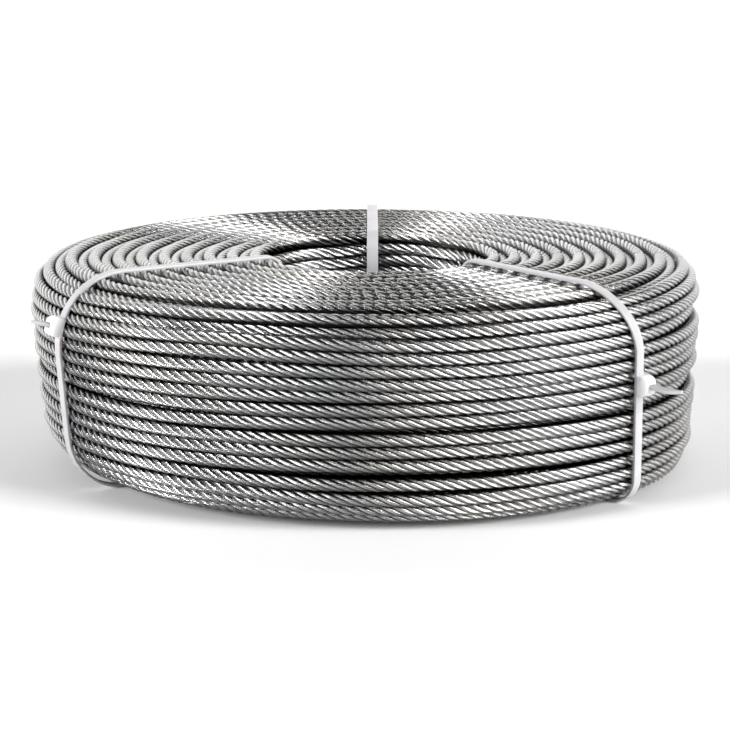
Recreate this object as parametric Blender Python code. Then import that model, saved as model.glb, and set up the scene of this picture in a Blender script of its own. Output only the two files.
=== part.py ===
"""Coil of steel wire rope, bound by three cable ties and lying flat.

Units are metres and +Z is up.  The origin is on the coil's axis, level with the
undersides of the ties, which carry the coil.  -Y is the front.

The wound rope is one turned solid with its bore.  Its turns show as ridges on
both ends, on the outside and in the bore.  Each tie is one moulded piece: a
strap that runs round the coil's section, a square head and a free tail.
"""
import math

import bmesh
import bpy

# Rope and coil
ROPE_DIAMETER = 0.0040
COIL_RADIUS = 0.1050
BORE_RADIUS = 0.0328
STACK_HEIGHT = 0.0640
BARREL_TAPER = 0.0045
TOP_SHOULDER_RADIUS = 0.0110
FOOT_SHOULDER_RADIUS = 0.0120
BORE_LIP_RADIUS = 0.0045
LAYER_PITCH = 0.00341
TURN_GROOVE = 0.0018
LAYER_STAGGER = 0.0013
COIL_SEGMENTS = 32
OUTLINE_ARC_STEPS = 12

# Cable ties
TIE_WIDTH = 0.0036
TIE_THICKNESS = 0.0011
TIE_EDGE = 0.0003
TIE_CLEARANCE = 0.0003
HEAD_WIDTH = 0.0058
HEAD_LENGTH = 0.0058
HEAD_DEPTH = 0.0044
HEAD_EDGE = 0.0007
TAIL_TIP_WIDTH = 0.0012
TAIL_TIP_LENGTH = 0.0025
TIE_ARC_STEPS = 6

# Where the ties sit.  Each lies in an upright plane, given by its direction from
# +X in degrees and by how far it passes the coil's axis.  A head's place is the
# distance along the straight outside from its upper or its lower end.
BACK_AZIMUTH = 90.0
BACK_MISS = -0.0025
BACK_HEAD_RISE = 0.0040
LEFT_AZIMUTH = 211.0
LEFT_MISS = -0.0025
LEFT_HEAD_DROP = 0.0034
LEFT_TAIL_LENGTH = 0.0055
RIGHT_AZIMUTH = 311.0
RIGHT_MISS = 0.0130
RIGHT_HEAD_DROP = 0.0178
RIGHT_TAIL_LENGTH = 0.0105

STEEL_COLOUR = (0.46, 0.46, 0.46, 1.0)
NYLON_COLOUR = (0.84, 0.83, 0.82, 1.0)

COIL_FOOT = TIE_CLEARANCE + TIE_THICKNESS
COIL_TOP = COIL_FOOT + STACK_HEIGHT


def clear_scene():
    for scene_object in list(bpy.data.objects):
        bpy.data.objects.remove(scene_object, do_unlink=True)


def make_material(name, colour, roughness, metallic):
    material = bpy.data.materials.new(name)
    material.use_nodes = True
    shader = material.node_tree.nodes["Principled BSDF"]
    shader.inputs["Base Color"].default_value = colour
    shader.inputs["Roughness"].default_value = roughness
    shader.inputs["Metallic"].default_value = metallic
    material.diffuse_color = colour
    return material


def add_object(name, mesh_source, material):
    """Turn a bmesh into a named object with one material."""
    bmesh.ops.recalc_face_normals(mesh_source, faces=mesh_source.faces)
    mesh = bpy.data.meshes.new(name)
    mesh_source.to_mesh(mesh)
    mesh_source.free()
    mesh.shade_smooth()
    mesh.set_sharp_from_angle(angle=math.radians(35.0))
    mesh.materials.append(material)
    new_object = bpy.data.objects.new(name, mesh)
    bpy.context.scene.collection.objects.link(new_object)
    return new_object


def side_wall():
    """Lean of the outside, and how far its plane lies from the origin.

    The coil is widest on the top shoulder's arc, which the outside leaves at a
    tangent.
    """
    lean = math.atan2(BARREL_TAPER, STACK_HEIGHT)
    centre_r = COIL_RADIUS - TOP_SHOULDER_RADIUS
    centre_z = COIL_TOP - TOP_SHOULDER_RADIUS
    reach = centre_r * math.cos(lean) - centre_z * math.sin(lean) + TOP_SHOULDER_RADIUS
    return lean, reach


def section_corners():
    """Corners of the coil's section, going down the outside, as arcs.

    Each is (centre r, centre z, radius, first angle, last angle), and the
    angles are those of the outward normal.
    """
    lean, side_reach = side_wall()
    top = (math.pi / 2.0, COIL_TOP)
    side = (-lean, side_reach)
    foot = (-math.pi / 2.0, -COIL_FOOT)
    bore = (-math.pi, -BORE_RADIUS)
    top_again = (-1.5 * math.pi, COIL_TOP)
    walls = (top, side, foot, bore, top_again)
    radii = (TOP_SHOULDER_RADIUS, FOOT_SHOULDER_RADIUS, BORE_LIP_RADIUS, BORE_LIP_RADIUS)
    corners = []
    for (angle_a, reach_a), (angle_b, reach_b), radius in zip(walls, walls[1:], radii):
        ax, az = math.cos(angle_a), math.sin(angle_a)
        bx, bz = math.cos(angle_b), math.sin(angle_b)
        determinant = ax * bz - az * bx
        inner_a, inner_b = reach_a - radius, reach_b - radius
        centre_r = (inner_a * bz - az * inner_b) / determinant
        centre_z = (ax * inner_b - inner_a * bx) / determinant
        corners.append((centre_r, centre_z, radius, angle_a, angle_b))
    return corners


def section_path(offset, steps):
    """Closed outline of the section, moved outwards by offset, as (point, normal)."""
    path = []
    for centre_r, centre_z, radius, first, last in section_corners():
        for step in range(steps + 1):
            angle = first + (last - first) * step / steps
            normal = (math.cos(angle), math.sin(angle))
            reach = radius + offset
            path.append(((centre_r + reach * normal[0], centre_z + reach * normal[1]), normal))
    return path


def at_length(path, wanted):
    """Point and normal at a distance along an open path."""
    travelled = 0.0
    for (point_a, normal_a), (point_b, normal_b) in zip(path, path[1:]):
        step = math.dist(point_a, point_b)
        if travelled + step >= wanted and step > 0.0:
            share = (wanted - travelled) / step
            point = [a + (b - a) * share for a, b in zip(point_a, point_b)]
            normal = [a + (b - a) * share for a, b in zip(normal_a, normal_b)]
            size = math.hypot(*normal)
            return point, [value / size for value in normal]
        travelled += step
    return path[-1]


def path_length(path):
    return sum(math.dist(a[0], b[0]) for a, b in zip(path, path[1:]))


def ridge_points():
    """The coil's section with a ridge for every turn that shows.

    The outline is split at the middle of each corner.  The outside and the bore
    show turns one rope apart.  The ends show the layers, every other one lower,
    because each layer beds into the hollows of the one inside it.  A groove's
    depth is taken from the mean of the crests beside it.
    """
    outline = section_path(0.0, OUTLINE_ARC_STEPS)
    per_corner = OUTLINE_ARC_STEPS + 1
    middles = [corner * per_corner + OUTLINE_ARC_STEPS // 2 for corner in range(4)]
    loop = outline + outline
    stretches = []
    for corner in range(4):
        start = middles[corner]
        stop = middles[(corner + 1) % 4] + (len(outline) if corner == 3 else 0)
        is_end = corner in (1, 3)
        stretches.append((loop[start:stop + 1], is_end))
    points = []
    for path, is_end in stretches:
        length = path_length(path)
        pitch = LAYER_PITCH if is_end else ROPE_DIAMETER
        count = max(3, round(length / pitch))
        depth = TURN_GROOVE + (LAYER_STAGGER / 2.0 if is_end else 0.0)
        for turn in range(count):
            point, normal = at_length(path, length * turn / count)
            groove = depth if turn else TURN_GROOVE
            points.append([p - n * groove for p, n in zip(point, normal)])
            point, normal = at_length(path, length * (turn + 0.5) / count)
            drop = LAYER_STAGGER if is_end and turn % 2 else 0.0
            points.append([p - n * drop for p, n in zip(point, normal)])
    return points


def build_coil(material):
    source = bmesh.new()
    ring = [source.verts.new((r, 0.0, z)) for r, z in ridge_points()]
    edges = [source.edges.new((a, b)) for a, b in zip(ring, ring[1:] + ring[:1])]
    bmesh.ops.spin(
        source,
        geom=ring + edges,
        cent=(0.0, 0.0, 0.0),
        axis=(0.0, 0.0, 1.0),
        angle=2.0 * math.pi,
        steps=COIL_SEGMENTS,
        use_merge=True,
    )
    bmesh.ops.remove_doubles(source, verts=source.verts, dist=0.000001)
    return add_object("wire_rope_coil", source, material)


def bar_profile(width, depth, edge):
    """Cross-section of a tie, as (sideways, outwards) points with cut corners."""
    half = width / 2.0
    low = TIE_CLEARANCE
    high = TIE_CLEARANCE + depth
    return (
        (edge - half, low),
        (half - edge, low),
        (half, low + edge),
        (half, high - edge),
        (half - edge, high),
        (edge - half, high),
        (-half, high - edge),
        (-half, low + edge),
    )


def tie_stations(head_place):
    """Places round the coil's section, each with the tie's profile there.

    head_place is the distance down the straight outside to the head's middle.
    Returns the stations and the index of the one at the head's upper face.
    """
    strap = bar_profile(TIE_WIDTH, TIE_THICKNESS, TIE_EDGE)
    head = bar_profile(HEAD_WIDTH, HEAD_DEPTH, HEAD_EDGE)
    head_end = bar_profile(HEAD_WIDTH - 2.0 * HEAD_EDGE, HEAD_DEPTH - HEAD_EDGE, HEAD_EDGE)
    path = section_path(0.0, TIE_ARC_STEPS)
    per_corner = TIE_ARC_STEPS + 1
    (top_r, top_z), normal = path[TIE_ARC_STEPS]
    down = (normal[1], -normal[0])
    half = HEAD_LENGTH / 2.0
    head_stations = []
    for place, profile in (
        (head_place - half, strap),
        (head_place - half, head_end),
        (head_place - half + HEAD_EDGE, head),
        (head_place + half - HEAD_EDGE, head),
        (head_place + half, head_end),
        (head_place + half, strap),
    ):
        point = (top_r + down[0] * place, top_z + down[1] * place)
        head_stations.append((point, normal, profile))
    stations = [(point, normal, strap) for point, normal in path[:per_corner]]
    upper_face = len(stations) + 2
    stations += head_stations
    stations += [(point, normal, strap) for point, normal in path[per_corner:]]
    return stations, upper_face


def straight_length():
    path = section_path(0.0, TIE_ARC_STEPS)
    return math.dist(path[TIE_ARC_STEPS][0], path[TIE_ARC_STEPS + 1][0])


def in_plane(point, normal, outwards, sideways, rise, miss):
    """A tie's corner in 3-D, at a place on the outline.

    The corner is turned about the coil's axis as the tie's plane meets the
    outline there, so the strap lies flat on the bore and on the outside.
    """
    radius = point[0] + normal[0] * outwards - normal[1] * rise
    height = point[1] + normal[1] * outwards + normal[0] * rise
    turn = math.asin(miss / point[0])
    return (
        radius * math.cos(turn) - sideways * math.sin(turn),
        radius * math.sin(turn) + sideways * math.cos(turn),
        height,
    )


def add_tail(source, quad, point, normal, tail_length, miss):
    """Run the strap's free end out of the head's outer face.

    quad holds that face's corners, and point is its middle on the coil's outline.
    """
    root = TIE_CLEARANCE + HEAD_DEPTH
    tip = root + tail_length
    rings = [quad]
    for reach, width in (
        (root, TIE_WIDTH),
        (tip - TAIL_TIP_LENGTH, TIE_WIDTH),
        (tip, TAIL_TIP_WIDTH),
    ):
        ring = []
        for side, level in ((1, 1), (-1, 1), (-1, -1), (1, -1)):
            rise = level * TIE_THICKNESS / 2.0
            corner = in_plane(point, normal, reach, side * width / 2.0, rise, miss)
            ring.append(source.verts.new(corner))
        rings.append(ring)
    for ring, following in zip(rings, rings[1:]):
        for corner in range(4):
            beside = (corner + 1) % 4
            source.faces.new((ring[corner], ring[beside], following[beside], following[corner]))
    source.faces.new(rings[-1])


def build_tie(name, azimuth, miss, head_place, tail_length, material):
    """A tie round the section, in an upright plane that passes the coil's axis at miss."""
    source = bmesh.new()
    stations, upper_face = tie_stations(head_place)
    rows = []
    for point, normal, profile in stations:
        rows.append([
            source.verts.new(in_plane(point, normal, outwards, sideways, 0.0, miss))
            for sideways, outwards in profile
        ])
    corners = len(rows[0])
    outer_corner = 4
    for index, row in enumerate(rows):
        following = rows[(index + 1) % len(rows)]
        for corner in range(corners):
            beside = (corner + 1) % corners
            quad = (row[corner], row[beside], following[beside], following[corner])
            if tail_length > 0.0 and index == upper_face and corner == outer_corner:
                upper, lower = stations[index][0], stations[index + 1][0]
                middle = [(a + b) / 2.0 for a, b in zip(upper, lower)]
                add_tail(source, quad, middle, stations[index][1], tail_length, miss)
            else:
                source.faces.new(quad)
    tie = add_object(name, source, material)
    tie.rotation_euler = (0.0, 0.0, math.radians(azimuth))
    return tie


def main():
    clear_scene()
    steel = make_material("bright_steel_rope", STEEL_COLOUR, 0.34, 1.0)
    nylon = make_material("natural_nylon", NYLON_COLOUR, 0.42, 0.0)
    build_coil(steel)
    back_place = straight_length() - BACK_HEAD_RISE
    build_tie("cable_tie_back", BACK_AZIMUTH, BACK_MISS, back_place, 0.0, nylon)
    build_tie(
        "cable_tie_left", LEFT_AZIMUTH, LEFT_MISS, LEFT_HEAD_DROP, LEFT_TAIL_LENGTH, nylon
    )
    build_tie(
        "cable_tie_right", RIGHT_AZIMUTH, RIGHT_MISS, RIGHT_HEAD_DROP, RIGHT_TAIL_LENGTH, nylon
    )


main()
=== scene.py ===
# %% [markdown]
# A coil of wire rope, bound by three cable ties.
# The real object is one long steel rope, wound turn beside turn and layer over layer round an open
# bore. A turned solid holds its place in the frame. This script winds real turns over that solid,
# each with its six helical strands, and gives the steel and the nylon their finish.

# %% Load the frame
import math

import bmesh
import bpy
import numpy as np
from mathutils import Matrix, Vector


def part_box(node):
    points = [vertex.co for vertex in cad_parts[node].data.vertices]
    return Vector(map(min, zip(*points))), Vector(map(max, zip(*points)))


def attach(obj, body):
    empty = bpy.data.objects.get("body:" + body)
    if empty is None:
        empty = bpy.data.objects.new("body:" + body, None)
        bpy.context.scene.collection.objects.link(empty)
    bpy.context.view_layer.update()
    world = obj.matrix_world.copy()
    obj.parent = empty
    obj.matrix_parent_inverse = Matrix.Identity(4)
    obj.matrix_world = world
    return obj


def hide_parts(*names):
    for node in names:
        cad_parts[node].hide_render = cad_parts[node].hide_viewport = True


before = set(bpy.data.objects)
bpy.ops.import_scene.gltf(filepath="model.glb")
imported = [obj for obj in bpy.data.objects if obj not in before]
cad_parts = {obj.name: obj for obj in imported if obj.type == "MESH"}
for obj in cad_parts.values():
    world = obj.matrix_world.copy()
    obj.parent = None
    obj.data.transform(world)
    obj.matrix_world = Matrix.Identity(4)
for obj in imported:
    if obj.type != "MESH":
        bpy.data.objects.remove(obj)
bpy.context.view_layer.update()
print("frame nodes:", sorted(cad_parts))

# %% [markdown]
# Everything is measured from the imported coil, so that the turns fit it.
# The coil's section is a rectangle with round corners, whose outside leans in towards the foot. The
# radii of its corners and the lean are design values, and the rest is read off the solid itself.
# The rope is sold as 4 mm, and its turns lie 4 mm apart. Where two touch, the strands of one bed a
# little into the valleys of the other. At the ends the layers lie closer than on the outside,
# because each layer beds into the hollows of the one inside it.

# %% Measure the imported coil
ROPE_DIAMETER = 0.0040
TURN_PITCH = 0.0040
LAYER_PITCH = 0.00341
TOP_SHOULDER = 0.0110
FOOT_SHOULDER = 0.0120
BORE_LIP = 0.0045
BARREL_TAPER = 0.0045
HALF_ROPE = ROPE_DIAMETER / 2.0

coil_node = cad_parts["wire_rope_coil"]
coil_low, coil_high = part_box("wire_rope_coil")
coil_points = np.empty(len(coil_node.data.vertices) * 3, np.float32)
coil_node.data.vertices.foreach_get("co", coil_points)
coil_points = coil_points.reshape(-1, 3)
BORE_RADIUS = float(np.hypot(coil_points[:, 0], coil_points[:, 1]).min())
COIL_RADIUS = float(coil_high.x)
COIL_TOP = float(coil_high.z)
COIL_FOOT = float(coil_low.z)
print(f"coil {2e3 * COIL_RADIUS:.1f} mm across, bore {2e3 * BORE_RADIUS:.1f} mm, "
      f"{1e3 * (COIL_TOP - COIL_FOOT):.1f} mm high")

# %% [markdown]
# The outline of the section has three uses: the turns stay inside it, the core follows it from
# within, and the ties run round it. So it is written once, as walls and corner arcs, together with
# the signed distance of any point from it. A hand-wound coil isn't quite even. Its bore sits a bit
# to the right, because the layers lie looser on the left. The two front ties have pulled the
# shoulder under them rounder. The foot sags to the right, so the left foot shoulder is rounder than
# the right one. All three are functions of the azimuth.

# %% Outline of the section
SHOULDER_CENTRE_R = COIL_RADIUS - TOP_SHOULDER
SHOULDER_CENTRE_Z = COIL_TOP - TOP_SHOULDER
BORE_SHIFT = 0.0035
FOOT_SHIFT = 0.0015
FOOT_SHOULDER_SWING = 0.0065
PULLED_REACH = math.radians(17.0)
PULLED_SHOULDERS = ((math.radians(209.5), 0.0095), (math.radians(316.0), 0.0060))


def bore_radius_at(azimuth):
    return BORE_RADIUS + BORE_SHIFT * np.cos(azimuth)


def shoulder_at(azimuth):
    radius = TOP_SHOULDER
    for tie_azimuth, extra in PULLED_SHOULDERS:
        away = (azimuth - tie_azimuth + math.pi) % (2.0 * math.pi) - math.pi
        radius = radius + extra * np.exp(-(away / PULLED_REACH) ** 2)
    return radius


def foot_shoulder_at(azimuth):
    return FOOT_SHOULDER - FOOT_SHOULDER_SWING * np.cos(azimuth)


def lean_at(azimuth):
    return np.arctan2(BARREL_TAPER - FOOT_SHIFT * np.cos(azimuth), COIL_TOP - COIL_FOOT)


def side_reach_at(azimuth):
    """Distance from the axis of the leaning outside wall, measured square to the wall."""
    lean = lean_at(azimuth)
    return SHOULDER_CENTRE_R * np.cos(lean) - SHOULDER_CENTRE_Z * np.sin(lean) + TOP_SHOULDER


def outside_radius(z, azimuth):
    lean = lean_at(azimuth)
    return (side_reach_at(azimuth) + z * np.sin(lean)) / np.cos(lean)


def section_corners(azimuth):
    """Corner arcs as (centre r, centre z, radius, first angle, last angle) of the normal."""
    shoulder, foot_shoulder = shoulder_at(azimuth), foot_shoulder_at(azimuth)
    lean = lean_at(azimuth)
    bore = bore_radius_at(azimuth) + BORE_LIP
    top_z, foot_z = COIL_TOP - shoulder, COIL_FOOT + foot_shoulder
    top_r = outside_radius(top_z, azimuth) - shoulder / math.cos(lean)
    foot_r = outside_radius(foot_z, azimuth) - foot_shoulder / math.cos(lean)
    quarter = math.pi / 2.0
    return (
        (top_r, top_z, shoulder, quarter, -lean),
        (foot_r, foot_z, foot_shoulder, -lean, -quarter),
        (bore, COIL_FOOT + BORE_LIP, BORE_LIP, -quarter, -2.0 * quarter),
        (bore, COIL_TOP - BORE_LIP, BORE_LIP, -2.0 * quarter, -3.0 * quarter),
    )


def section_path(azimuth, offset, steps):
    """Closed outline of the section, moved outwards by offset, as (r, z, normal angle)."""
    path = []
    for centre_r, centre_z, radius, first, last in section_corners(azimuth):
        for step in range(steps + 1):
            angle = first + (last - first) * step / steps
            reach = radius + offset
            path.append((
                centre_r + reach * math.cos(angle),
                centre_z + reach * math.sin(angle),
                angle,
            ))
    return path


def outline_distance(r, z, azimuth):
    """Signed distance from the outline, with the outward direction."""
    shoulder, foot_shoulder = shoulder_at(azimuth), foot_shoulder_at(azimuth)
    lean = lean_at(azimuth)
    side = r * np.cos(lean) - z * np.sin(lean) - side_reach_at(azimuth)
    top = z - COIL_TOP
    foot = COIL_FOOT - z
    bore = bore_radius_at(azimuth) - r
    walls = np.stack([side, top, foot, bore])
    nearest = walls.argmax(0)
    distance = walls.max(0)
    level = np.zeros_like(distance)
    out_r = np.choose(nearest, [np.cos(lean) + level, level, level, level - 1.0])
    out_z = np.choose(nearest, [level - np.sin(lean), level + 1.0, level - 1.0, level])
    for across, along, radius, sign_r, sign_z in (
        (side, top, shoulder, 1.0, 1.0),
        (side, foot, foot_shoulder, 1.0, -1.0),
        (bore, foot, BORE_LIP, -1.0, -1.0),
        (bore, top, BORE_LIP, -1.0, 1.0),
    ):
        corner = (across > -radius) & (along > -radius)
        step = np.hypot(across + radius, along + radius)
        safe = np.maximum(step, 1e-9)
        distance = np.where(corner, step - radius, distance)
        out_r = np.where(corner, sign_r * (across + radius) / safe, out_r)
        out_z = np.where(corner, sign_z * (along + radius) / safe, out_z)
    return distance, out_r, out_z


print(f"outside leans in by {math.degrees(lean_at(0.0)):.1f} to "
      f"{math.degrees(lean_at(math.pi)):.1f} degrees")

# %% [markdown]
# Only the skin of the coil is ever seen. Its section is split at the middle of each corner into the
# outside, the foot, the bore and the top, and turns are spread evenly along each of them. At the
# ends every other one lies a bit deeper. One more layer lies under the outside, in the hollows
# between its turns, because it shows through the gaps. The section is worked out afresh at every
# station round the coil, so the turns follow the shifted bore and the rounder shoulder.

# %% Place the turns
STATIONS = 96
HALF_CORNER = 6
END_STAGGER = 0.0011
OUTSIDE, FOOT, BORE, TOP = range(4)
PITCHES = (TURN_PITCH, LAYER_PITCH, TURN_PITCH, LAYER_PITCH)
azimuths = np.arange(STATIONS) * 2.0 * math.pi / STATIONS


def side_line(azimuth, side):
    """One side of the section through the turns' middles: rows of r, z and the normal's r, z."""
    path = section_path(azimuth, -HALF_ROPE, 2 * HALF_CORNER)
    per_corner = 2 * HALF_CORNER + 1
    start = side * per_corner + HALF_CORNER
    r, z, angle = np.array((path + path)[start:start + per_corner + 1]).T
    return np.stack([r, z, np.cos(angle), np.sin(angle)])


def length_along(line):
    return np.concatenate([[0.0], np.hypot(*np.diff(line[:2])).cumsum()])


def place_turns():
    """Side, place in its row and depth of each turn, and its r, z, normal at every station."""
    lines = [[side_line(azimuth, side) for azimuth in azimuths] for side in range(4)]
    labels, courses = [], []
    for side in range(4):
        count = round(length_along(lines[side][STATIONS // 4])[-1] / PITCHES[side])
        depths = (0, 1) if side == OUTSIDE else (0,)
        for depth in depths:
            for place in range(count - depth):
                deeper = depth * LAYER_PITCH
                if side in (FOOT, TOP):
                    from_outside = place if side == FOOT else count - 1 - place
                    deeper += END_STAGGER * (from_outside % 2)
                course = []
                for line in lines[side]:
                    length = length_along(line)
                    wanted = length[-1] * (place + 0.5 + 0.5 * depth) / count
                    r, z, normal_r, normal_z = (np.interp(wanted, length, row) for row in line)
                    size = math.hypot(normal_r, normal_z)
                    normal_r, normal_z = normal_r / size, normal_z / size
                    course.append((
                        r - deeper * normal_r, z - deeper * normal_z, normal_r, normal_z,
                    ))
                labels.append((side, place, depth))
                courses.append(course)
    return np.array(labels).T, np.array(courses).transpose(2, 0, 1)


(side_of, place_of, depth_of), (start_r, start_z, normal_r, normal_z) = place_turns()
print("turns placed:", len(side_of))

# %% [markdown]
# A real winding wanders. Neighbouring turns drift together, and each one also drifts a little by
# itself and sinks here and there. Where two would share a place they push each other aside, one
# bedding deeper and the other riding up, and gaps open elsewhere. That is done here as a small
# relaxation: pairs that come too close are pushed apart, and each ring is smoothed along its length
# because the rope is stiff. Harmonics of the azimuth keep each ring closed.

# %% Let the winding settle
SEED = 41
SHARED_WAVES = 4
OWN_WAVES = 9
SHARED_SLIDE = (0.0011, 0.0011, 0.0004)
OWN_SLIDE = (0.0015, 0.0010, 0.0004)
SINK = (0.0030, 0.0006, 0.0005)
SINK_FROM = 0.35
NEIGHBOUR_REACH = 2.2 * TURN_PITCH
TOUCHING = 0.94 * ROPE_DIAMETER
SETTLING_STEPS = 300
PUSH = 0.45
PULL = 0.01
STIFFNESS = 0.25
rng = np.random.default_rng(SEED)


def drift(harmonics):
    """Smooth drift round the coil, of about one unit, that changes slowly from turn to turn."""
    total = np.zeros((len(side_of), STATIONS))
    for harmonic in range(1, harmonics + 1):
        phase = rng.uniform(0.0, 2.0 * math.pi)
        swing = rng.uniform(0.15, 0.40) * rng.choice([-1.0, 1.0])
        wave = np.cos(harmonic * azimuths[None] + phase + swing * place_of[:, None])
        total += wave / harmonic ** 0.5
    return total


def own_drift(harmonics):
    """Drift of each turn by itself, of about one unit."""
    total = np.zeros((len(side_of), STATIONS))
    for harmonic in range(1, harmonics + 1):
        phase = rng.uniform(0.0, 2.0 * math.pi, len(side_of))
        size = rng.uniform(0.2, 1.0, len(side_of)) / harmonic ** 0.5
        total += size[:, None] * np.cos(harmonic * azimuths[None] + phase[:, None])
    return total


def by_side(outside, bore, end):
    """A strength for the outside, one for the bore and one for the two ends."""
    return np.choose(side_of, (outside, end, bore, end))[:, None]


slide = by_side(*SHARED_SLIDE) * drift(SHARED_WAVES)
slide += by_side(*OWN_SLIDE) * own_drift(OWN_WAVES)
sink = by_side(*SINK) * np.maximum(own_drift(OWN_WAVES) - SINK_FROM, 0.0)
goal_r = start_r - slide * normal_z - sink * normal_r
goal_z = start_z + slide * normal_r - sink * normal_z
ring_r, ring_z = goal_r.copy(), goal_z.copy()

front = 3 * STATIONS // 4
spacing = np.hypot(start_r[:, None, front] - start_r[None, :, front],
                   start_z[:, None, front] - start_z[None, :, front])
first, second = np.nonzero(np.triu(spacing < NEIGHBOUR_REACH, 1))
for step in range(SETTLING_STEPS):
    across = ring_r[first] - ring_r[second]
    up = ring_z[first] - ring_z[second]
    apart = np.maximum(np.hypot(across, up), 1e-6)
    push = PUSH * np.maximum(TOUCHING - apart, 0.0) / apart
    np.add.at(ring_r, first, across * push)
    np.add.at(ring_r, second, -across * push)
    np.add.at(ring_z, first, up * push)
    np.add.at(ring_z, second, -up * push)
    for ring, goal in ((ring_r, goal_r), (ring_z, goal_z)):
        ring += PULL * (goal - ring)
        ring += STIFFNESS * (np.roll(ring, 1, 1) + np.roll(ring, -1, 1) - 2.0 * ring)
    distance, out_r, out_z = outline_distance(ring_r, ring_z, azimuths)
    excess = np.maximum(distance + HALF_ROPE, 0.0)
    ring_r -= out_r * excess
    ring_z -= out_z * excess
apart = np.hypot(ring_r[first] - ring_r[second], ring_z[first] - ring_z[second])
print(f"closest pair of centres {1e3 * apart.min():.2f} mm, rope {1e3 * ROPE_DIAMETER:.2f} mm")

# %% [markdown]
# The winding is handed to Geometry Nodes as curves, one open spline for each turn, whose first and
# last points coincide. The points are read off the settled rings with a Fourier sum, which stays
# smooth and closed at any number of points. Each point also carries the angle of its open side,
# where the coil's outline is nearest, in the slot that a curve has for its radius.

# %% Turn rings into curves
LAY_LENGTH = 0.0214
RING_WAVES = 12
FEWEST_STEPS = 24


def add_object(name, data):
    made = bpy.data.objects.new(name, data)
    bpy.context.scene.collection.objects.link(made)
    return made


def ring_points(index, steps_per_lay):
    circumference = 2.0 * math.pi * float(ring_r[index].mean())
    count = max(FEWEST_STEPS, round(circumference / LAY_LENGTH * steps_per_lay))
    angle = np.arange(count + 1) * 2.0 * math.pi / count
    values = []
    for ring in (ring_r[index], ring_z[index]):
        spectrum = np.fft.rfft(ring) / STATIONS
        total = np.full(count + 1, spectrum[0].real)
        for wave in range(1, RING_WAVES + 1):
            total += 2.0 * (spectrum[wave] * np.exp(1j * wave * angle)).real
        values.append(total)
    radius, height = values
    points = np.stack([radius * np.cos(angle), radius * np.sin(angle), height], 1)
    _, out_r, out_z = outline_distance(radius, height, angle)
    return points, np.arctan2(out_z, out_r) % (2.0 * math.pi)


def winding_curves(name, indices, steps_per_lay):
    data = bpy.data.curves.new(name, "CURVE")
    data.dimensions = "3D"
    for index in indices:
        points, open_angles = ring_points(index, steps_per_lay)
        spline = data.splines.new("POLY")
        spline.points.add(len(points) - 1)
        flat = np.concatenate([points, np.ones((len(points), 1))], 1)
        spline.points.foreach_set("co", flat.ravel())
        spline.points.foreach_set("radius", open_angles)
    return add_object(name, data)


# %% [markdown]
# One tree lays the rope along any set of curves. Its section has a lobe for each strand, and the
# section turns as it travels, by a whole number of strands per ring, so both ends meet and weld.
# The tree also stores where each point lies round the rope and along it, for the wires' pattern,
# and how far the point faces the open side and upwards, for the painted shade of the grooves and
# the lower flanks.

# %% Rope tree
STRANDS = 6
SECTION_REACH = (0.60, 0.882, 1.0, 0.882)
SECTION_NUDGE = (0.0, -0.0716, 0.0, 0.0716)
POINTS_PER_STRAND = len(SECTION_REACH)
WELD_DISTANCE = 0.0001


class Nodes:
    """Short calls to add nodes to one tree and join them."""

    def __init__(self, node_tree):
        self.nodes = node_tree.nodes
        self.links = node_tree.links

    def node(self, kind, settings=None, **inputs):
        made = self.nodes.new(kind)
        for key, value in (settings or {}).items():
            setattr(made, key, value)
        for key, value in inputs.items():
            self.feed(made.inputs[key.replace("_", " ")], value)
        return made

    def feed(self, socket, value):
        if isinstance(value, bpy.types.NodeSocket):
            self.links.new(value, socket)
        else:
            socket.default_value = value

    def math(self, operation, first, second=0.0):
        made = self.nodes.new("ShaderNodeMath")
        made.operation = operation
        self.feed(made.inputs[0], first)
        self.feed(made.inputs[1], second)
        return made.outputs[0]


class Tree(Nodes):
    """A geometry node group with named inputs."""

    def __init__(self, name):
        self.group = bpy.data.node_groups.new(name, "GeometryNodeTree")
        super().__init__(self.group)
        self.socket("Geometry", "Geometry", "INPUT")
        self.socket("Geometry", "Geometry", "OUTPUT")
        self.entry = self.nodes.new("NodeGroupInput")
        self.exit = self.nodes.new("NodeGroupOutput")

    def socket(self, name, kind, in_out):
        return self.group.interface.new_socket(
            name, in_out=in_out, socket_type="NodeSocket" + kind)

    def parameter(self, name, kind, default=None):
        socket = self.socket(name, kind, "INPUT")
        if default is not None:
            socket.default_value = default
        return self.entry.outputs[name]

    def vector(self, operation, first, second=None):
        made = self.nodes.new("ShaderNodeVectorMath")
        made.operation = operation
        self.feed(made.inputs[0], first)
        if second is not None:
            self.feed(made.inputs[1], second)
        return made.outputs["Value" if operation == "DOT_PRODUCT" else "Vector"]


def set_input(modifier, name, value):
    for item in modifier.node_group.interface.items_tree:
        if item.item_type == "SOCKET" and item.in_out == "INPUT" and item.name == name:
            modifier[item.identifier] = value


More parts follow.
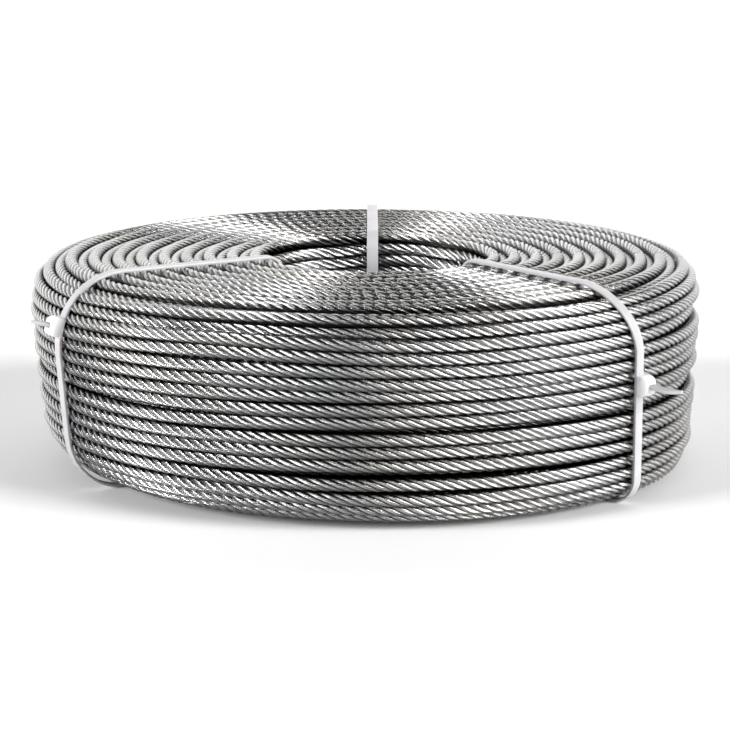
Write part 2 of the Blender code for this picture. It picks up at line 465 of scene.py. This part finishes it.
def rope_tree():
    tree = Tree("lay_wire_rope")
    diameter = tree.parameter("Rope Diameter", "Float", ROPE_DIAMETER)
    lay = tree.parameter("Lay Length", "Float", LAY_LENGTH)
    strands = tree.parameter("Strands", "Int", STRANDS)
    seed = tree.parameter("Seed", "Int", 0)
    material = tree.parameter("Material", "Material")

    # The section: strand circles sampled at their crest, both flanks and the valley between
    around = tree.math("MULTIPLY", strands, POINTS_PER_STRAND)
    circle = tree.node("GeometryNodeCurvePrimitiveCircle", Resolution=around, Radius=1.0)
    index = tree.node("GeometryNodeInputIndex").outputs[0]
    part = tree.math("MODULO", index, POINTS_PER_STRAND)
    reach = tree.node("GeometryNodeIndexSwitch", {"data_type": "FLOAT"})
    nudge = tree.node("GeometryNodeIndexSwitch", {"data_type": "FLOAT"})
    for switch, values in ((reach, SECTION_REACH), (nudge, SECTION_NUDGE)):
        while len(switch.index_switch_items) < POINTS_PER_STRAND:
            switch.index_switch_items.new()
        tree.feed(switch.inputs[0], part)
        for slot, value in enumerate(values):
            switch.inputs[slot + 1].default_value = value
    turn_step = tree.math("DIVIDE", 2.0 * math.pi, around)
    angle = tree.math("ADD", tree.math("MULTIPLY", index, turn_step), nudge.outputs[0])
    radius = tree.math("MULTIPLY", reach.outputs[0], tree.math("MULTIPLY", diameter, 0.5))
    place = tree.node(
        "ShaderNodeCombineXYZ",
        X=tree.math("MULTIPLY", radius, tree.math("COSINE", angle)),
        Y=tree.math("MULTIPLY", radius, tree.math("SINE", angle)),
    )
    section = tree.node(
        "GeometryNodeSetPosition",
        Geometry=circle.outputs["Curve"],
        Position=place.outputs[0],
    )
    section_mark = tree.node("GeometryNodeCaptureAttribute")
    for name in ("Angle", "Reach"):
        section_mark.capture_items.new("FLOAT", name)
    tree.feed(section_mark.inputs["Geometry"], section.outputs[0])
    tree.feed(section_mark.inputs["Angle"], angle)
    tree.feed(section_mark.inputs["Reach"], reach.outputs[0])

    # The path: turned by a whole number of strands along each ring
    length = tree.node("GeometryNodeSplineLength").outputs["Length"]
    parameter = tree.node("GeometryNodeSplineParameter")
    factor = parameter.outputs["Factor"]
    strand_turn = tree.math("DIVIDE", 2.0 * math.pi, strands)
    steps = tree.math("ROUND", tree.math("MULTIPLY", tree.math("DIVIDE", length, lay), strands))
    twist = tree.math("MULTIPLY", tree.math("MULTIPLY", steps, strand_turn), factor)
    spline_index = tree.node("GeometryNodeInputIndex").outputs[0]
    chance = tree.node("FunctionNodeRandomValue", {"data_type": "FLOAT"})
    tree.feed(chance.inputs["ID"], spline_index)
    tree.feed(chance.inputs["Seed"], seed)
    spline_chance = tree.node(
        "GeometryNodeFieldOnDomain", {"domain": "CURVE", "data_type": "FLOAT"})
    tree.feed(spline_chance.inputs[0], chance.outputs[1])
    phase = tree.math("MULTIPLY", spline_chance.outputs[0], strand_turn)
    tilt = tree.math("ADD", twist, phase)

    side_mark = tree.node("GeometryNodeCaptureAttribute")
    side_mark.capture_items.new("FLOAT", "Side")
    side_mark.capture_items.new("VECTOR", "Centre")
    tree.feed(side_mark.inputs["Geometry"], tree.entry.outputs["Geometry"])
    tree.feed(side_mark.inputs["Side"], tree.node("GeometryNodeInputRadius").outputs[0])
    tree.feed(side_mark.inputs["Centre"], tree.node("GeometryNodeInputPosition").outputs[0])
    even = tree.node("GeometryNodeSetCurveRadius", Curve=side_mark.outputs["Geometry"], Radius=1.0)
    normal = tree.node("GeometryNodeSetCurveNormal", {"mode": "Z_UP"}, Curve=even.outputs[0])
    path_mark = tree.node("GeometryNodeCaptureAttribute")
    for name in ("Tilt", "Along", "Tone"):
        path_mark.capture_items.new("FLOAT", name)
    tree.feed(path_mark.inputs["Geometry"], normal.outputs[0])
    tree.feed(path_mark.inputs["Tilt"], tilt)
    tree.feed(path_mark.inputs["Along"], parameter.outputs["Length"])
    tree.feed(path_mark.inputs["Tone"], spline_chance.outputs[0])
    tilted = tree.node(
        "GeometryNodeSetCurveTilt",
        Curve=path_mark.outputs["Geometry"],
        Tilt=path_mark.outputs["Tilt"],
    )

    sweep = tree.node(
        "GeometryNodeCurveToMesh",
        Curve=tilted.outputs[0],
        Profile_Curve=section_mark.outputs["Geometry"],
    )
    weld = tree.node(
        "GeometryNodeMergeByDistance", Geometry=sweep.outputs[0], Distance=WELD_DISTANCE)
    round_rope = tree.math("ADD", section_mark.outputs["Angle"], path_mark.outputs["Tilt"])
    wires = tree.node(
        "ShaderNodeCombineXYZ",
        X=tree.math("COSINE", round_rope),
        Y=tree.math("SINE", round_rope),
        Z=path_mark.outputs["Along"],
    )
    store_wires = tree.node("GeometryNodeStoreNamedAttribute", {"data_type": "FLOAT_VECTOR"})
    tree.feed(store_wires.inputs["Geometry"], weld.outputs[0])
    tree.feed(store_wires.inputs["Name"], "round_rope")
    tree.feed(store_wires.inputs["Value"], wires.outputs[0])

    # How far each point faces the open side: 1 on the crest, 0 where turns touch; the steel paints
    # shade between turns with it
    centre_point = side_mark.outputs["Centre"]
    here = tree.node("GeometryNodeInputPosition").outputs[0]
    away = tree.vector("NORMALIZE", tree.vector("SUBTRACT", here, centre_point))
    radial = tree.vector("NORMALIZE", tree.vector("MULTIPLY", centre_point, (1.0, 1.0, 0.0)))
    side = side_mark.outputs["Side"]
    # faces_up also drives the painted shade on the lower flanks
    faces_up = tree.vector("DOT_PRODUCT", away, (0.0, 0.0, 1.0))
    along_r = tree.math("MULTIPLY", tree.vector("DOT_PRODUCT", away, radial),
                        tree.math("COSINE", side))
    along_z = tree.math("MULTIPLY", faces_up, tree.math("SINE", side))

    marked = store_wires.outputs[0]
    for name, value in (
        ("turn_tone", path_mark.outputs["Tone"]),
        ("strand_reach", section_mark.outputs["Reach"]),
        ("open_side", tree.math("ADD", along_r, along_z)),
        ("faces_up", faces_up),
    ):
        store = tree.node("GeometryNodeStoreNamedAttribute", {"data_type": "FLOAT"})
        tree.feed(store.inputs["Geometry"], marked)
        tree.feed(store.inputs["Name"], name)
        tree.feed(store.inputs["Value"], value)
        marked = store.outputs[0]
    smooth = tree.node("GeometryNodeSetShadeSmooth", Geometry=marked)
    real = tree.node("GeometryNodeRealizeInstances", Geometry=smooth.outputs[0])
    finish = tree.node("GeometryNodeSetMaterial", Geometry=real.outputs[0], Material=material)
    tree.feed(tree.exit.inputs[0], finish.outputs[0])
    return tree.group


# %% [markdown]
# The steel is bright drawn wire. Several things make it read as rope and not as a twisted bar. Each
# strand is itself a bundle of fine wires, which the bump draws. The valleys between strands and the
# grooves between turns are darkened in the colour as painted shade, and so are the lower flanks,
# painted shade that makes them mirror less of the floor. Every turn has its own tone, and the tone
# drifts along the turn.
# The wires of a strand run nearly along the rope, so their pattern hangs on the angle round the
# rope that the tree stored. The turns underneath and the core are the same steel, darkened as
# painted shade, and the turns in the bore are the same steel brightened, as painted light.

# %% Steel of the rope
WIRES_ROUND = 28
WIRE_BUMP = 0.00009


class Shade(Nodes):
    """A material with short calls for its patterns."""

    def __init__(self, name):
        self.material = bpy.data.materials.new(name)
        self.material.use_nodes = True
        super().__init__(self.material.node_tree)
        self.shader = self.nodes["Principled BSDF"]

    def stored(self, name, output="Fac"):
        return self.node("ShaderNodeAttribute", {"attribute_name": name}).outputs[output]

    def noise(self, scale, detail=2.0):
        place = self.node("ShaderNodeTexCoord").outputs["Object"]
        made = self.node("ShaderNodeTexNoise", Vector=place, Scale=scale, Detail=detail)
        return made.outputs["Fac"]

    def ramp(self, factor, *stops):
        made = self.node("ShaderNodeValToRGB", Fac=factor)
        points = made.color_ramp.elements
        while len(points) < len(stops):
            points.new(0.5)
        for point, (place, colour) in zip(points, stops):
            point.position = place
            point.color = (*colour, 1.0)
        return made.outputs["Color"]

    def blend(self, factor, first, second, mode="MIX"):
        made = self.node("ShaderNodeMix", {"data_type": "RGBA", "blend_type": mode})
        self.feed(made.inputs[0], factor)
        self.feed(made.inputs[6], first)
        self.feed(made.inputs[7], second)
        return made.outputs[2]

    def spread(self, value, low, high, value_low=0.0, value_high=1.0):
        made = self.node("ShaderNodeMapRange", Value=value)
        for socket, limit in (
            ("From Min", value_low), ("From Max", value_high), ("To Min", low), ("To Max", high),
        ):
            made.inputs[socket].default_value = limit
        return made.outputs[0]


def steel_material(name, brightness):
    steel = Shade(name)
    parts = steel.node("ShaderNodeSeparateXYZ", Vector=steel.stored("round_rope", "Vector"))
    angle = steel.math("ARCTAN2", parts.outputs["Y"], parts.outputs["X"])

    # Colour: painted shade in the strand valleys, the grooves between turns and the lower flanks,
    # bright crests, a tone of its own for every turn
    # The ramp darkens each strand from its crest down into the valley between strands: painted
    # shade
    strand = steel.ramp(
        steel.stored("strand_reach"),
        (0.62, (0.05, 0.05, 0.052)),
        (0.82, (0.40, 0.40, 0.406)),
        (0.97, (0.74, 0.735, 0.725)),
    )
    # Painted shade: darker where the rope faces its neighbours, in the grooves between turns
    painted_groove_shade = steel.spread(steel.stored("open_side"), 0.08, 0.94, 0.10, 0.62)
    # Painted shade: the lower flanks are darkened, so that they mirror less of the floor
    painted_lower_flank_shade = steel.spread(steel.stored("faces_up"), 0.28, 1.0, -0.75, -0.05)
    turn_shade = steel.spread(steel.stored("turn_tone"), 0.84 * brightness, brightness)
    patches = steel.spread(steel.noise(55.0), 0.86, 1.08)
    shade = turn_shade
    for share in (patches, painted_groove_shade, painted_lower_flank_shade):
        shade = steel.math("MULTIPLY", shade, share)
    grey = steel.node("ShaderNodeCombineColor", Red=shade, Green=shade, Blue=shade).outputs[0]
    lit = steel.blend(1.0, strand, grey, "MULTIPLY")
    tint = steel.ramp(steel.noise(28.0), (0.38, (0.97, 0.985, 1.0)), (0.62, (1.0, 0.985, 0.955)))
    steel.feed(steel.shader.inputs["Base Color"], steel.blend(1.0, lit, tint, "MULTIPLY"))
    steel.shader.inputs["Metallic"].default_value = 1.0

    # Gloss: drawn wire, a little duller in small patches
    dull = steel.spread(steel.noise(240.0, 3.0), 0.13, 0.22)
    steel.feed(steel.shader.inputs["Roughness"], dull)

    # Wires: rounded ridges side by side, with a crease between each two
    wave = steel.math("SINE", steel.math("MULTIPLY", angle, WIRES_ROUND / 2.0))
    ridges = steel.math("ABSOLUTE", wave)
    bump = steel.node("ShaderNodeBump", Height=ridges, Strength=1.0, Distance=WIRE_BUMP)
    steel.feed(steel.shader.inputs["Normal"], bump.outputs[0])
    return steel.material


# The plain steel, a copy darkened as painted shade for the turns underneath and the core, and a
# copy brightened as painted light for the bore
steel = steel_material("bright_steel_wire", 1.0)
shadow_painted_steel = steel_material("shadow_painted_steel_wire", 0.4)
light_painted_steel = steel_material("light_painted_steel_wire", 1.35)
rope_group = rope_tree()
print("steel:", len(steel.node_tree.nodes), "nodes")

# %% [markdown]
# Each group of turns becomes one piece: the outside, the two ends, the bore and the few turns that
# show through the gaps. Fewer steps to each lay are spent where nobody looks closely, which keeps
# every piece light enough.

# %% Lay the rope
# Turns underneath take the copy darkened as painted shade, bore turns the copy brightened as
# painted light
STEEL_OF_PIECE = {"under_turns": shadow_painted_steel, "bore_turns": light_painted_steel}


def lay_rope(name, indices, steps_per_lay, seed):
    """Rope along a set of turns, as one plain mesh object."""
    guide = winding_curves(name + "_path", indices, steps_per_lay)
    modifier = guide.modifiers.new("rope", "NODES")
    modifier.node_group = rope_group
    set_input(modifier, "Seed", seed)
    set_input(modifier, "Material", STEEL_OF_PIECE.get(name, steel))
    shown = guide.evaluated_get(bpy.context.evaluated_depsgraph_get())
    mesh = bpy.data.meshes.new_from_object(shown)
    mesh.name = name
    bpy.data.objects.remove(guide, do_unlink=True)
    piece = add_object(name, mesh)
    triangles = sum(len(polygon.vertices) - 2 for polygon in mesh.polygons)
    print(f"{name}: {len(indices)} turns, {triangles} triangles")
    return piece


turn_r, turn_z = start_r[:, front], start_z[:, front]
on_skin = depth_of == 0
high = turn_z > (COIL_FOOT + COIL_TOP) / 2.0
far_out = turn_r > (BORE_RADIUS + 2.0 * COIL_RADIUS) / 3.0
groups = (
    ("outer_turns_upper", on_skin & (side_of == OUTSIDE) & high, 12),
    ("outer_turns_lower", on_skin & (side_of == OUTSIDE) & ~high, 12),
    ("top_turns_outer", (side_of == TOP) & far_out, 12),
    ("top_turns_inner", (side_of == TOP) & ~far_out, 12),
    ("foot_turns", side_of == FOOT, 8),
    ("bore_turns", side_of == BORE, 12),
    ("under_turns", ~on_skin, 6),
)
rope_pieces = [
    lay_rope(name, np.nonzero(chosen)[0], steps_per_lay, number)
    for number, (name, chosen, steps_per_lay) in enumerate(groups)
]

# %% [markdown]
# Under the turns that are drawn lie all the other layers, which nobody sees. A plain turned body
# stands for them. It follows the outline a little way in, so that the gaps between turns end on it.

# %% Core behind the gaps
CORE_INSET = 1.7 * ROPE_DIAMETER
CORE_SEGMENTS = 96
CORE_CORNER_STEPS = 4


def core_piece():
    vertices, faces = [], []
    for segment in range(CORE_SEGMENTS):
        angle = 2.0 * math.pi * segment / CORE_SEGMENTS
        outline = section_path(angle, 0.0, CORE_CORNER_STEPS)
        vertices += [
            ((r - CORE_INSET * math.cos(normal)) * math.cos(angle),
             (r - CORE_INSET * math.cos(normal)) * math.sin(angle),
             z - CORE_INSET * math.sin(normal))
            for r, z, normal in outline
        ]
    count = len(outline)
    for segment in range(CORE_SEGMENTS):
        here = segment * count
        there = (segment + 1) % CORE_SEGMENTS * count
        for point in range(count):
            beside = (point + 1) % count
            faces.append((here + beside, here + point, there + point, there + beside))
    mesh = bpy.data.meshes.new("winding_core")
    mesh.from_pydata(vertices, [], faces)
    # The core takes the steel darkened as painted shade
    mesh.materials.append(shadow_painted_steel)
    return add_object("winding_core", mesh)


rope_pieces.append(core_piece())
for piece in rope_pieces:
    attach(piece, "root")
    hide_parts("wire_rope_coil")

# %% [markdown]
# Each tie is a nylon strap drawn tight round the section, with a moulded head. The strap's free end
# comes out of the head's slot at a right angle to the coil, cut off short. Straps and tails are
# swept as rings of points that are given sideways, outwards and upwards.

# %% Bars that follow a path
STRAP_WIDTH = 0.0036
STRAP_THICKNESS = 0.0009
STRAP_EDGE = 0.00028
STRAP_GAP = 0.0002
STRAP_GAP_BELOW = 0.0003
STRAP_CORNER_STEPS = 10


def bar_section(width, thickness, edge, steps=3):
    """Rounded rectangle as (sideways, lift) points."""
    points = []
    for sign_x, sign_y, first in ((1, 1, 0.0), (-1, 1, 90.0), (-1, -1, 180.0), (1, -1, 270.0)):
        for step in range(steps):
            angle = math.radians(first + 90.0 * step / (steps - 1))
            points.append((
                sign_x * (width / 2.0 - edge) + edge * math.cos(angle),
                sign_y * (thickness / 2.0 - edge) + edge * math.sin(angle),
            ))
    return points


def sweep(mesh_data, rings, closed):
    """Faces between rings of points; open bars get end caps."""
    rows = [[mesh_data.verts.new(point) for point in ring] for ring in rings]
    pairs = list(zip(rows, rows[1:]))
    if closed:
        pairs.append((rows[-1], rows[0]))
    for row, following in pairs:
        for index in range(len(row)):
            beside = (index + 1) % len(row)
            mesh_data.faces.new((row[index], row[beside], following[beside], following[index]))
    if not closed:
        mesh_data.faces.new(rows[0])
        mesh_data.faces.new(rows[-1])


def strap_rings(outer_azimuth, bore_azimuth, to_world):
    """The strap round the whole section, a bit further out where it carries the coil."""
    rings = []
    section = bar_section(STRAP_WIDTH, STRAP_THICKNESS, STRAP_EDGE)
    outer_path = section_path(outer_azimuth, 0.0, STRAP_CORNER_STEPS)
    bore_path = section_path(bore_azimuth, 0.0, STRAP_CORNER_STEPS)
    half = len(outer_path) // 2
    for r, z, angle in outer_path[:half] + bore_path[half:]:
        cosine, sine = math.cos(angle), math.sin(angle)
        gap = STRAP_GAP + STRAP_THICKNESS / 2.0 + STRAP_GAP_BELOW * max(0.0, -sine)
        rings.append([
            to_world(r, (gap + lift) * cosine, sideways, z + (gap + lift) * sine)
            for sideways, lift in section
        ])
    return rings


# %% [markdown]
# The head is a small block with a slot right through it, and inside the slot sits the pawl that
# grips the strap. It is built as a ring of walls round the slot. Its outer end tapers, and its
# edges are rounded.

# %% Head with its slot and pawl
HEAD_WIDTH = 0.0049
HEAD_LENGTH = 0.0060
HEAD_FROM = 0.0003
HEAD_SHOULDER = 0.0030
HEAD_DEPTH = 0.0045
HEAD_TAPER = 0.66
SLOT_WIDTH = 0.0037
SLOT_LENGTH = 0.0015
SLOT_RIM = 0.0004
HEAD_EDGE = 0.0006
PAWL_FROM = 0.0010
PAWL_TO = 0.0036
PAWL_GAP = 0.0002
PAWL_THICKNESS = 0.0004
PAWL_REACH = 0.0011
PAWL_NOSE = 0.0003


def block_corners(width, length, depth):
    return [(side * width / 2.0, level * length / 2.0, depth)
            for side, level in ((1, 1), (-1, 1), (-1, -1), (1, -1))]


def head_faces(mesh_data, place):
    """Head as a closed block with a through slot; place turns (sideways, level, depth) to 3-D."""
    rows = []
    outer_width = max(HEAD_WIDTH * HEAD_TAPER, SLOT_WIDTH + SLOT_RIM)
    for width, length, depth in (
        (HEAD_WIDTH, HEAD_LENGTH, HEAD_FROM),
        (HEAD_WIDTH, HEAD_LENGTH, HEAD_FROM + HEAD_SHOULDER),
        (outer_width, HEAD_LENGTH * HEAD_TAPER, HEAD_FROM + HEAD_DEPTH),
        (SLOT_WIDTH, SLOT_LENGTH, HEAD_FROM + HEAD_DEPTH),
        (SLOT_WIDTH, SLOT_LENGTH, HEAD_FROM),
    ):
        rows.append([mesh_data.verts.new(place(*corner))
                     for corner in block_corners(width, length, depth)])
    for row, following in zip(rows, rows[1:] + rows[:1]):
        for index in range(4):
            beside = (index + 1) % 4
            mesh_data.faces.new((row[index], row[beside], following[beside], following[index]))
    outer = set(rows[0] + rows[1] + rows[2])
    edges = [edge for edge in mesh_data.edges if set(edge.verts) <= outer]
    bmesh.ops.bevel(mesh_data, geom=edges, offset=HEAD_EDGE, segments=3, affect="EDGES",
                    profile=0.5)


def pawl_faces(mesh_data, place):
    """The wedge in the slot, hinged on the slot's upper wall."""
    side = SLOT_WIDTH / 2.0 - PAWL_GAP
    wall = SLOT_LENGTH / 2.0 + PAWL_GAP
    profile = (
        (wall, PAWL_FROM),
        (wall, PAWL_TO),
        (wall - PAWL_THICKNESS, PAWL_TO),
        (wall - PAWL_REACH, PAWL_FROM + PAWL_NOSE),
    )
    rings = [[place(sign * side, level, depth) for level, depth in profile] for sign in (-1, 1)]
    sweep(mesh_data, rings, False)


# %% [markdown]
# The tail is the cut end of the strap. On the real ties it bends a little, because it was pulled
# and then let go, and its tip is cut to a point. Its rings follow that bend and narrow at the tip.

# %% Tail
TAIL_STEPS = 14
TAIL_ROOT = 0.0006
TAIL_THICKNESS = STRAP_THICKNESS + 0.0001
TIP_LENGTH = 0.0030
TIP_WIDTH = 0.0009


def tail_faces(mesh_data, place, length, sag, lift):
    rings = []
    start = HEAD_FROM + TAIL_ROOT
    stop = HEAD_FROM + HEAD_DEPTH + length
    for step in range(TAIL_STEPS + 1):
        depth = start + (stop - start) * step / TAIL_STEPS
        free = max(0.0, (depth - HEAD_FROM - HEAD_DEPTH) / length)
        level = -sag * (2.0 * free - free * free) + lift * free ** 3
        near_tip = max(0.0, 1.0 - (stop - depth) / TIP_LENGTH)
        width = STRAP_WIDTH + (TIP_WIDTH - STRAP_WIDTH) * near_tip
        section = bar_section(width, TAIL_THICKNESS, STRAP_EDGE)
        rings.append([place(sideways, level + thick, depth) for sideways, thick in section])
    sweep(mesh_data, rings, False)


# %% [markdown]
# Nylon lets light in a little way, so its edges glow and its shadows stay pale. Subsurface light
# does that, with a faint unevenness from the mould in colour, gloss and surface. Thin nylon shows
# the dark rope through it, so the strap is greyer than the thick head. The attribute "thick" tells
# which is which.

# %% Nylon of the ties
def nylon_material():
    nylon = Shade("natural_nylon")
    strap = nylon.ramp(
        nylon.noise(90.0),
        (0.35, (0.42, 0.415, 0.43)),
        (0.65, (0.47, 0.465, 0.475)),
    )
    colour = nylon.blend(nylon.stored("thick"), strap, (0.88, 0.87, 0.86, 1.0))
    nylon.feed(nylon.shader.inputs["Base Color"], colour)
    nylon.feed(nylon.shader.inputs["Roughness"], nylon.spread(nylon.noise(700.0, 3.0), 0.34, 0.50))
    nylon.shader.inputs["Subsurface Weight"].default_value = 0.2
    nylon.shader.inputs["Subsurface Scale"].default_value = 0.0012
    grain = nylon.node(
        "ShaderNodeBump", Height=nylon.noise(1800.0), Strength=0.35, Distance=0.00005)
    nylon.feed(nylon.shader.inputs["Normal"], grain.outputs[0])
    return nylon.material


nylon = nylon_material()

# %% [markdown]
# Each tie goes into its own mesh. It lies near an upright plane that misses the coil's axis by a
# little, as ties drawn tight by hand do. The right one also slants: its outside leg drifts sideways
# below the shoulder, and its bore leg stays upright. A head sits on the outline, square to it, at
# its own height. The back tie's head sits low behind, with its tail cut flush.

# %% Ties
SLANT_REACH = 0.014
SHARP_FROM = math.radians(40.0)


def outline_at(azimuth, z):
    """Radius of the outside at a height, and the angle of its normal."""
    centre_r, centre_z, radius, _, lowest = section_corners(azimuth)[0]
    rise = (z - centre_z) / radius
    if rise < math.sin(lowest):
        return outside_radius(z, azimuth), lowest
    return centre_r + radius * math.sqrt(1.0 - rise ** 2), math.asin(rise)


def tie_piece(name, direction, miss, slant, head_z, tail):
    """One tie; tail is (length, sag, lift) or None."""
    direction = math.radians(direction)

    def to_world(r, outwards, sideways, z):
        share = max(r - BORE_RADIUS, 0.0) / (COIL_RADIUS - BORE_RADIUS)
        below = max(COIL_TOP - z, 0.0)
        drifted = slant * (1.0 - math.exp(-below / SLANT_REACH)) * share
        turn = direction + math.asin(miss / r) + drifted / r
        reach = r + outwards
        return (reach * math.cos(turn) - sideways * math.sin(turn),
                reach * math.sin(turn) + sideways * math.cos(turn), z)

    outer_azimuth = direction + math.asin(miss / COIL_RADIUS)
    bore_azimuth = direction + math.asin(miss / BORE_RADIUS)
    head_r, head_angle = outline_at(outer_azimuth, head_z)
    ahead, upward = math.cos(head_angle), math.sin(head_angle)

    def place(sideways, level, depth):
        return to_world(head_r, ahead * depth - upward * level, sideways,
                        head_z + upward * depth + ahead * level)

    block = bmesh.new()
    head_faces(block, place)
    block_mesh = bpy.data.meshes.new("head")
    block.to_mesh(block_mesh)
    block.free()
    mesh_data = bmesh.new()
    mesh_data.from_mesh(block_mesh)
    bpy.data.meshes.remove(block_mesh)
    head_points = len(mesh_data.verts)
    pawl_faces(mesh_data, place)
    sweep(mesh_data, strap_rings(outer_azimuth, bore_azimuth, to_world), True)
    if tail:
        tail_faces(mesh_data, place, *tail)
    bmesh.ops.recalc_face_normals(mesh_data, faces=mesh_data.faces)
    mesh = bpy.data.meshes.new(name)
    mesh_data.to_mesh(mesh)
    mesh_data.free()
    thick = mesh.attributes.new("thick", "FLOAT", "POINT")
    thick.data.foreach_set("value", np.arange(len(mesh.vertices)) < head_points)
    mesh.shade_smooth()
    mesh.set_sharp_from_angle(angle=SHARP_FROM)
    mesh.materials.append(nylon)
    return add_object(name, mesh)


for name, direction, miss, slant, head_z, tail in (
    ("cable_tie_back", 90.0, -0.0025, 0.0, 0.0165, None),
    ("cable_tie_left", 211.0, -0.0025, 0.0, 0.0506, (0.0054, 0.0, 0.0)),
    ("cable_tie_right", 308.1, 0.0128, 0.0105, 0.0369, (0.0104, 0.0004, 0.0008)),
):
    tie = tie_piece(name + "_moulded", direction, miss, slant, head_z, tail)
    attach(tie, "root")
    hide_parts(name)
    print(tie.name, "has", len(tie.data.polygons), "faces")

# %% [markdown]
# The coil stands on a plain pale floor, which sweeps up into a wall behind it, as in a studio.
# Three soft lights shine from far away. Bright metal shows what it mirrors, so the low lights to
# the left and right become the two bright bands on the coil, and the gap between them its darker
# middle. The third one stands behind the coil, and gives its top and the floor their sheen. The
# world is a dim grey.

# %% Floor and light
FLOOR_REACH = 6.0
WALL_START = 1.3
WALL_HEIGHT = 3.0
SWEEP_RADIUS = 0.7
SWEEP_STEPS = 12


def floor_piece():
    outline = [(-FLOOR_REACH, 0.0)]
    for step in range(SWEEP_STEPS + 1):
        angle = math.radians(90.0 * step / SWEEP_STEPS)
        outline.append((WALL_START + SWEEP_RADIUS * math.sin(angle),
                        SWEEP_RADIUS * (1.0 - math.cos(angle))))
    outline.append((WALL_START + SWEEP_RADIUS, WALL_HEIGHT))
    points = [(side * FLOOR_REACH, y, z) for y, z in outline for side in (-1, 1)]
    faces = [(2 * row, 2 * row + 1, 2 * row + 3, 2 * row + 2) for row in range(len(outline) - 1)]
    mesh = bpy.data.meshes.new("floor")
    mesh.from_pydata(points, [], faces)
    mesh.shade_smooth()
    material = bpy.data.materials.new("pale_floor")
    material.use_nodes = True
    shader = material.node_tree.nodes["Principled BSDF"]
    shader.inputs["Base Color"].default_value = (0.88, 0.88, 0.88, 1.0)
    shader.inputs["Roughness"].default_value = 0.9
    shader.inputs["Specular IOR Level"].default_value = 0.1
    mesh.materials.append(material)
    return add_object("floor", mesh)


def wide_sun(name, azimuth, elevation, spread, power):
    """Soft light from far away; azimuth is measured from +X like the ties."""
    data = bpy.data.lights.new(name, "SUN")
    data.angle = math.radians(spread)
    data.energy = power
    light = add_object(name, data)
    turn, rise = math.radians(azimuth), math.radians(elevation)
    level = math.cos(rise)
    towards = Vector((level * math.cos(turn), level * math.sin(turn), math.sin(rise)))
    light.rotation_euler = towards.to_track_quat("Z", "Y").to_euler()


floor_piece()
wide_sun("left_light", 209.0, 19.0, 26.0, 4.0)
wide_sun("right_light", 330.0, 19.0, 32.0, 5.1)
wide_sun("back_light", 90.0, 32.0, 50.0, 3.4)
world = bpy.data.worlds.new("studio")
bpy.context.scene.world = world
world.use_nodes = True
background = world.node_tree.nodes["Background"]
background.inputs["Color"].default_value = (0.97, 0.985, 1.0, 1.0)
background.inputs["Strength"].default_value = 0.06

# %% [markdown]
# The camera looks down by about eleven degrees from a little under a metre away, through a long
# lens. These were found from how flat the top's ellipses are and how much the foot curves more.

# %% Camera
CAMERA_DISTANCE = 0.878
CAMERA_ELEVATION = math.radians(11.5)
CAMERA_AIM = Vector((0.0, 0.0, 0.0290))
CAMERA_LENS = 137.1
CAMERA_SENSOR = 36.0

camera_data = bpy.data.cameras.new("camera")
camera_data.lens = CAMERA_LENS
camera_data.sensor_width = CAMERA_SENSOR
camera = add_object("camera", camera_data)
camera.location = CAMERA_AIM + CAMERA_DISTANCE * Vector(
    (0.0, -math.cos(CAMERA_ELEVATION), math.sin(CAMERA_ELEVATION)))
camera.rotation_euler = (CAMERA_AIM - camera.location).to_track_quat("-Z", "Y").to_euler()
bpy.context.scene.camera = camera
bpy.context.scene.view_settings.view_transform = "Standard"
